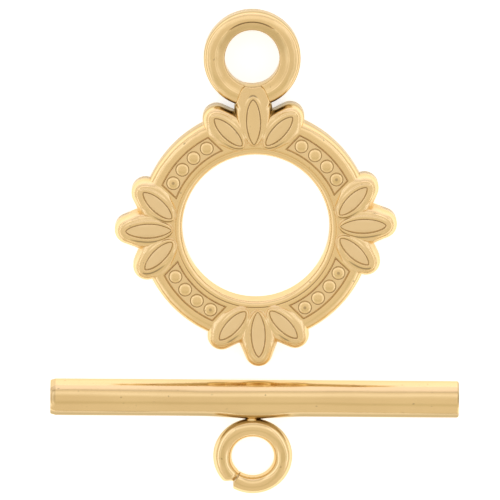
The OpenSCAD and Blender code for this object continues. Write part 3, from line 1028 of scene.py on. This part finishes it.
def gold_material(name, stretch, brightness, roughness):
    """Polished metal. Stretch below 1 draws the waves out along X, brightness multiplies the colour,
    and roughness gives the two ends between which the gloss wanders."""
    mat = bpy.data.materials.new(name)
    mat.use_nodes = True
    tree, nodes, links = mat.node_tree, mat.node_tree.nodes, mat.node_tree.links
    shader = nodes["Principled BSDF"]
    shader.inputs["Metallic"].default_value = 1.0
    shader.inputs["Specular Tint"].default_value = (*PLATE_TINT, 1)
    place = nodes.new("ShaderNodeTexCoord").outputs["Object"]
    cut = nodes.new("ShaderNodeAttribute")
    cut.attribute_name = "cut"
    tone = nodes.new("ShaderNodeValToRGB")
    for stop, at, gold in zip(tone.color_ramp.elements, (0.35, 0.65), (GOLD_DEEP, GOLD_PALE)):
        stop.position, stop.color = at, (*brightness * gold, 1)
    links.new(noise(tree, place, TONE_SCALE, 3), tone.inputs["Fac"])
    # brown as painted shade where the mesh's number says so, and on a few specks; satin where polishing
    # didn't reach
    fleck = stretched(tree, noise(tree, place, FLECK_SCALE, 1), 0.74, 0.78, 0, 0.4)
    brown = nodes.new("ShaderNodeMath")
    brown.operation = "MAXIMUM"
    links.new(cut.outputs["Fac"], brown.inputs[0])
    links.new(fleck, brown.inputs[1])
    satin = stretched(tree, cut.outputs["Fac"], 0, -1, 0, 1)
    colour = towards_colour(tree, brown.outputs["Value"], tone.outputs["Color"], BROWN)
    links.new(towards_colour(tree, satin, colour, SATIN_GOLD), shader.inputs["Base Color"])
    rough = nodes.new("ShaderNodeMix")
    rough.inputs["B"].default_value = SATIN_ROUGHNESS
    links.new(satin, rough.inputs["Factor"])
    gloss = stretched(tree, noise(tree, place, GLOSS_SCALE, 2), 0, 1, *roughness)
    links.new(gloss, rough.inputs["A"])
    links.new(rough.outputs["Result"], shader.inputs["Roughness"])
    # soft waves that may run along the bar, then a fine grain
    drawn = nodes.new("ShaderNodeMapping")
    drawn.inputs["Scale"].default_value = (stretch, 1, 1)
    links.new(place, drawn.inputs["Vector"])
    waves = bumped(tree, noise(tree, drawn.outputs["Vector"], WAVE_SCALE, 2), 0.8, 0.1 * MM)
    grain = bumped(tree, noise(tree, place, GRAIN_SCALE, 2), 0.25, 0.01 * MM, waves)
    links.new(grain, shader.inputs["Normal"])
    return mat


for piece, gold in ((ring, gold_material("cast_gold", 1.0, 1.03, (0.15, 0.23))),
                    (bar, gold_material("drawn_gold", 0.15, 1.0, (0.11, 0.19)))):
    piece.data.materials.clear()
    piece.data.materials.append(gold)
    print("finish:", gold.name, "on", piece.name)

# %% [markdown]
# ## The sheet it lies on
# The clasp lies on a near-white sheet, so evenly lit that its own shadow hardly shows. A little
# light from the sheet itself gives that evenness without a second lamp in the reflections.

# %% The floor
SHEET_HALF = 300.0
SHEET_WHITE, SHEET_GLOW = (0.78, 0.78, 0.78), 0.67


def floor_surface():
    """A flat square at z = 0 with its corners at plus and minus the half width."""
    w = SHEET_HALF
    return np.array([[[-w, -w, 0], [w, -w, 0]], [[-w, w, 0], [w, w, 0]]])


floor = mesh_object("floor", floor_surface(), face_corners(np.arange(4).reshape(2, 2))[:, ::-1])
bpy.context.scene.collection.objects.link(floor)
pale = bpy.data.materials.new("pale_floor")
pale.use_nodes = True
for socket, value in (("Base Color", (*SHEET_WHITE, 1)), ("Roughness", 0.9),
                      ("Specular IOR Level", 0.1), ("Emission Color", (1, 1, 1, 1)),
                      ("Emission Strength", SHEET_GLOW)):
    pale.node_tree.nodes["Principled BSDF"].inputs[socket].default_value = value
floor.data.materials.append(pale)
print("floor:", 2 * SHEET_HALF * MM, "m wide")

# %% [markdown]
# ## The dome of light
# Polished metal shows what is round it, so the light is a dome whose brightness changes with
# direction, as in a photographer's light tent. A lamp is a share of the sky, between 0 and 1, that
# is worked out from the direction alone: a round lobe, or a strip like a long soft box.

# %% Shares of the sky
world = bpy.data.worlds.new("soft_dome")
bpy.context.scene.world = world
world.use_nodes = True
nodes, links = world.node_tree.nodes, world.node_tree.links
direction = nodes.new("ShaderNodeTexCoord").outputs["Generated"]


def share_of(axis, low, high, outside, inside, both_ways):
    """How far a direction's cosine to the axis lies between two limits, from one value to another, by
    a smooth step; both ways takes the cosine without its sign."""
    dot = nodes.new("ShaderNodeVectorMath")
    dot.operation = "DOT_PRODUCT"
    dot.inputs[1].default_value = Vector(axis).normalized()
    links.new(direction, dot.inputs[0])
    size = nodes.new("ShaderNodeMath")
    size.operation = "ABSOLUTE" if both_ways else "ADD"
    size.inputs[1].default_value = 0
    links.new(dot.outputs["Value"], size.inputs[0])
    fade = nodes.new("ShaderNodeMapRange")
    fade.interpolation_type = "SMOOTHSTEP"
    fade.inputs["From Min"].default_value, fade.inputs["From Max"].default_value = low, high
    fade.inputs["To Min"].default_value, fade.inputs["To Max"].default_value = outside, inside
    links.new(size.outputs["Value"], fade.inputs["Value"])
    return fade.outputs["Result"]


def lobe(axis, inner, outer):
    """Cone about the axis: full inside one angle, none outside the other."""
    return share_of(axis, np.cos(np.radians(outer)), np.cos(np.radians(inner)), 0, 1, False)


def strip(normal, half_width, along, reach):
    """Narrow strip of the sky, the great circle square to the normal: full on its middle line, none
    beyond the half width, and none past the reach on the axis it runs along."""
    both = nodes.new("ShaderNodeMath")
    both.operation = "MULTIPLY"
    links.new(share_of(normal, 0, np.sin(np.radians(half_width)), 1, 0, True), both.inputs[0])
    links.new(share_of(along, reach * 0.6, reach, 1, 0, True), both.inputs[1])
    return both.outputs["Value"]


print("dome:", world.name)

# %% [markdown]
# ## Lamps and gaps
# Over the even tone lie a broad soft box behind the clasp, a lobe low behind it, two narrow strips
# on each side, and two gaps that are a little darker. The gaps give the bar its soft brown bands,
# which tell the eye that it is round.

# %% Lamps and gaps
def sky(base, lamps):
    """An even colour of light, to which each lamp in turn adds its colour, or which it multiplies."""
    total = None
    for blend, mask, colour in lamps:
        mix = nodes.new("ShaderNodeMix")
        mix.data_type, mix.blend_type = "RGBA", blend
        mix.inputs["A"].default_value = (*base, 1)
        mix.inputs["B"].default_value = (*colour, 1)
        if total:
            links.new(total, mix.inputs["A"])
        links.new(mask, mix.inputs["Factor"])
        total = mix.outputs["Result"]
    return total


def across_x(degrees):
    """Normal of a strip that runs along Y, so many degrees from the zenith towards +X."""
    return (np.cos(np.radians(degrees)), 0, -np.sin(np.radians(degrees)))


def across_y(degrees):
    """Normal of a strip that runs along X, so many degrees from the zenith towards +Y."""
    return (0, np.cos(np.radians(degrees)), -np.sin(np.radians(degrees)))


X, Y = (1, 0, 0), (0, 1, 0)
# how each is blended in, its share of the sky, and its red, green and blue
lamps = [("ADD", strip(across_y(32), 22, X, 0.8), (0.27, 0.30, 0.38)),
         ("ADD", lobe(Y, 12, 48), (0.38, 0.38, 0.60)),
         ("MULTIPLY", strip(across_y(54), 9, X, 0.95), (0.74, 0.73, 0.72)),
         ("MULTIPLY", strip(across_y(-27), 15, X, 0.95), (0.86, 0.86, 0.78))]
lamps += [("ADD", strip(across_x(side * 57), 11, Y, 0.85), (0.75, 0.82, 1.10)) for side in (1, -1)]
lamps += [("ADD", strip(across_x(side * 36), 7, Y, 0.75), (0.34, 0.38, 0.50)) for side in (1, -1)]
links.new(sky((0.92, 0.82, 0.67), lamps), nodes["Background"].inputs["Color"])
nodes["Background"].inputs["Strength"].default_value = 1.0
print("dome: one even tone and", len(lamps), "lamps and gaps")

# %% [markdown]
# ## The camera
# The clasp is seen from almost straight above, through a long lens, as small jewellery is shot
# from a copy stand. The camera stands half a metre away, tilted by nine degrees from the upright.

# %% The camera
def aim(tilt, side, roll):
    """Direction from the target to the camera, (sin side, sin tilt, the rest of a unit length), and
    the camera's right and up, turned by the roll; angles in degrees."""
    t, s, o = np.radians([tilt, side, roll])
    towards = Vector((np.sin(s), np.sin(t), np.sqrt(1 - np.sin(s) ** 2 - np.sin(t) ** 2)))
    up = Vector((-np.sin(o), np.cos(o), 0))
    right = (-towards).cross(up).normalized()
    return towards, right, right.cross(-towards)


DISTANCE, PIXELS_PER_MM, PICTURE, SENSOR = 528.8, 16.9772, 500, 36
TILT, SIDE, ROLL = 9.0589, -0.0695, -1.2576   # degrees
TARGET = Vector((-0.3748, -1.4139, 1.0))
towards, right, up = aim(TILT, SIDE, ROLL)
lens = bpy.data.cameras.new("camera")
lens.sensor_width = SENSOR
lens.lens = PIXELS_PER_MM * DISTANCE * SENSOR / PICTURE
camera = bpy.data.objects.new("camera", lens)
bpy.context.scene.collection.objects.link(camera)
stand = Matrix((right, up, towards)).transposed().to_4x4()
stand.translation = (TARGET + DISTANCE * towards) * MM
camera.matrix_world = stand
bpy.context.scene.camera = camera
bpy.context.scene.view_settings.view_transform = "Standard"
print("camera at", [round(v, 4) for v in stand.translation], "lens", round(lens.lens, 1))
